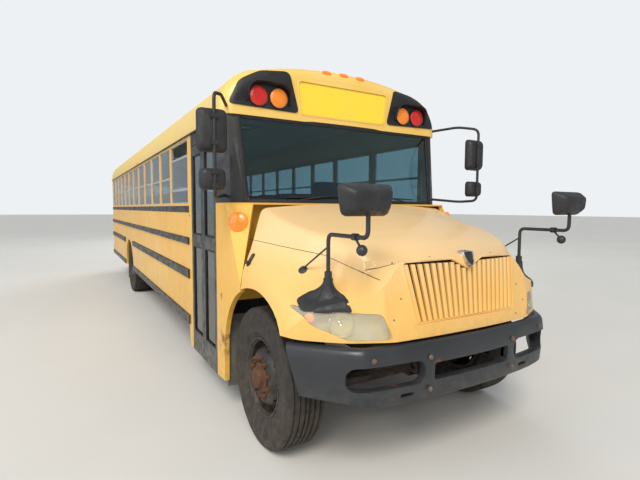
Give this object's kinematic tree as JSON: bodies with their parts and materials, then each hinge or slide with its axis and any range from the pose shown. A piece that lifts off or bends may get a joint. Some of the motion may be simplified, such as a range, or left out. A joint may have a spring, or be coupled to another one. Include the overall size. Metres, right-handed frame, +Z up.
{
  "type": "school bus",
  "caption": "Conventional yellow bus with a tilting hood, folding entrance door, emergency door, roof hatches, stop arm, bench seats, steered front wheels and dual rear wheels.",
  "frame": {"origin": "on the ground under the middle of the whole vehicle", "axes": "+X to the bus's left (driver's side), -Y to the front, +Z up"},
  "size_m": [3.025, 11.743, 3.128],
  "materials": {
    "body_yellow": "gloss, faded",
    "hood_yellow": "satin, sun-bleached",
    "roof_paint": "matt, chalky",
    "black_paint": "satin",
    "chassis_black": "matt, rusty",
    "engine_iron": "cast",
    "radiator_core": "finned",
    "floor_rubber": "ribbed",
    "sash_aluminium": "mill finish",
    "window_glass": "tinted",
    "red_lens": "ribbed lens",
    "amber_lens": "ribbed lens",
    "clear_lens": "clear, slightly hazed",
    "black_plastic": "moulded",
    "seat_vinyl": "grained vinyl",
    "exhaust_steel": "heat-stained",
    "flap_rubber": "matt",
    "hatch_white": "moulded",
    "stop_red": "reflective sheet",
    "wheel_black": "satin, rusty hub",
    "tyre": "dusty"
  },
  "bodies": {
    "bus": {"frame_rails": "chassis_black", "engine_block": "engine_iron", "radiator": "radiator_core", "driveline": "engine_iron", "axles": "chassis_black", "leaf_springs": "chassis_black", "floor": "floor_rubber", "side_walls": "body_yellow", "roof": "roof_paint", "front_cap": "body_yellow", "rear_end": "body_yellow", "cowl": "body_yellow", "corner_posts": "black_paint", "window_sashes": "sash_aluminium", "window_glass": "window_glass", "rub_rails": "black_paint", "bumpers": "black_paint", "lamp_fields": "black_paint", "red_lamps": "red_lens", "amber_lamps": "amber_lens", "rearview_mirrors": "black_plastic", "seats": "seat_vinyl", "dashboard": "black_plastic", "fuel_tank": "chassis_black", "exhaust": "exhaust_steel", "mud_flaps": "flap_rubber"},
    "hood": {"hood": "hood_yellow", "grille": "body_yellow", "headlamps": "clear_lens", "crossview_mirrors": "black_plastic"},
    "door_leaf_front": {"service_door_front": "black_paint", "service_door_glass_front": "window_glass"},
    "door_leaf_rear": {"service_door_rear": "black_paint", "service_door_glass_rear": "window_glass"},
    "emergency_door": {"emergency_door": "body_yellow", "emergency_door_glass": "window_glass"},
    "hatch_front": {"roof_hatch_front": "hatch_white"},
    "hatch_rear": {"roof_hatch_rear": "hatch_white"},
    "stop_arm": {"stop_arm": "stop_red"},
    "steering_wheel": {"steering_wheel": "black_plastic"},
    "knuckle_left": {"knuckle_left": "chassis_black"},
    "knuckle_right": {"knuckle_right": "chassis_black"},
    "tie_rod": {"tie_rod": "chassis_black"},
    "wheel_front_left": {"wheel_front_left": "wheel_black", "tyre_front_left": "tyre"},
    "wheel_front_right": {"wheel_front_right": "wheel_black", "tyre_front_right": "tyre"},
    "wheels_rear_left": {"wheels_rear_left": "wheel_black", "tyres_rear_left": "tyre"},
    "wheels_rear_right": {"wheels_rear_right": "wheel_black", "tyres_rear_right": "tyre"}
  },
  "joints": [
    {"name": "hood_tilt", "type": "hinge", "parent": "bus", "child": "hood", "pos_m": [0, -5.7365, 0.925], "axis": [1, 0, 0], "range_deg": [0, 75]},
    {"name": "service_door_open", "type": "hinge", "parent": "bus", "child": "door_leaf_front", "pos_m": [-1.219, -3.9665, 1.3], "axis": [0, 0, 1], "range_deg": [0, 90]},
    {"name": "service_door_follow", "type": "hinge", "parent": "bus", "child": "door_leaf_rear", "pos_m": [-1.219, -3.1235, 1.3], "axis": [0, 0, -1], "range_deg": [0, 90]},
    {"name": "emergency_door_open", "type": "hinge", "parent": "bus", "child": "emergency_door", "pos_m": [-0.44, 5.7845, 1.75], "axis": [0, 0, 1], "range_deg": [0, 110]},
    {"name": "hatch_front_lift", "type": "hinge", "parent": "bus", "child": "hatch_front", "pos_m": [0, -1.5015, 3.092], "axis": [1, 0, 0], "range_deg": [0, 80]},
    {"name": "hatch_rear_lift", "type": "hinge", "parent": "bus", "child": "hatch_rear", "pos_m": [0, 3.5985, 3.092], "axis": [1, 0, 0], "range_deg": [0, 80]},
    {"name": "stop_arm_swing", "type": "hinge", "parent": "bus", "child": "stop_arm", "pos_m": [1.25, -2.8615, 1.59], "axis": [0, 0, -1], "range_deg": [0, 90]},
    {"name": "steer_left", "type": "hinge", "parent": "bus", "child": "knuckle_left", "pos_m": [0.88, -4.7615, 0.519], "axis": [0, 0, 1], "range_deg": [-45, 45]},
    {"name": "steer_right", "type": "hinge", "parent": "bus", "child": "knuckle_right", "pos_m": [-0.88, -4.7615, 0.519], "axis": [0, 0, 1], "range_deg": [-45, 45]},
    {"name": "tie_rod_end", "type": "hinge", "parent": "knuckle_left", "child": "tie_rod", "pos_m": [0.88, -4.6115, 0.362], "axis": [0, 0, 1], "range_deg": [-45, 45]},
    {"name": "steering_wheel_turn", "type": "hinge", "parent": "bus", "child": "steering_wheel", "pos_m": [0.56, -3.7515, 1.66], "axis": [0, 0.5736, 0.8192], "range_deg": [-820, 820]},
    {"name": "wheel_front_left_roll", "type": "hinge", "parent": "knuckle_left", "child": "wheel_front_left", "pos_m": [1.013, -4.7615, 0.519], "axis": [1, 0, 0], "continuous": true},
    {"name": "wheel_front_right_roll", "type": "hinge", "parent": "knuckle_right", "child": "wheel_front_right", "pos_m": [-1.013, -4.7615, 0.519], "axis": [1, 0, 0], "continuous": true},
    {"name": "wheels_rear_left_roll", "type": "hinge", "parent": "bus", "child": "wheels_rear_left", "pos_m": [0.885, 2.2485, 0.519], "axis": [1, 0, 0], "continuous": true},
    {"name": "wheels_rear_right_roll", "type": "hinge", "parent": "bus", "child": "wheels_rear_right", "pos_m": [-0.885, 2.2485, 0.519], "axis": [1, 0, 0], "continuous": true}
  ],
  "couplings": [
    {"joint": "service_door_follow", "follows": "service_door_open", "ratio": 1},
    {"joint": "steer_right", "follows": "steer_left", "ratio": 1},
    {"joint": "tie_rod_end", "follows": "steer_left", "ratio": -1},
    {"joint": "steering_wheel_turn", "follows": "steer_left", "ratio": 18}
  ]
}
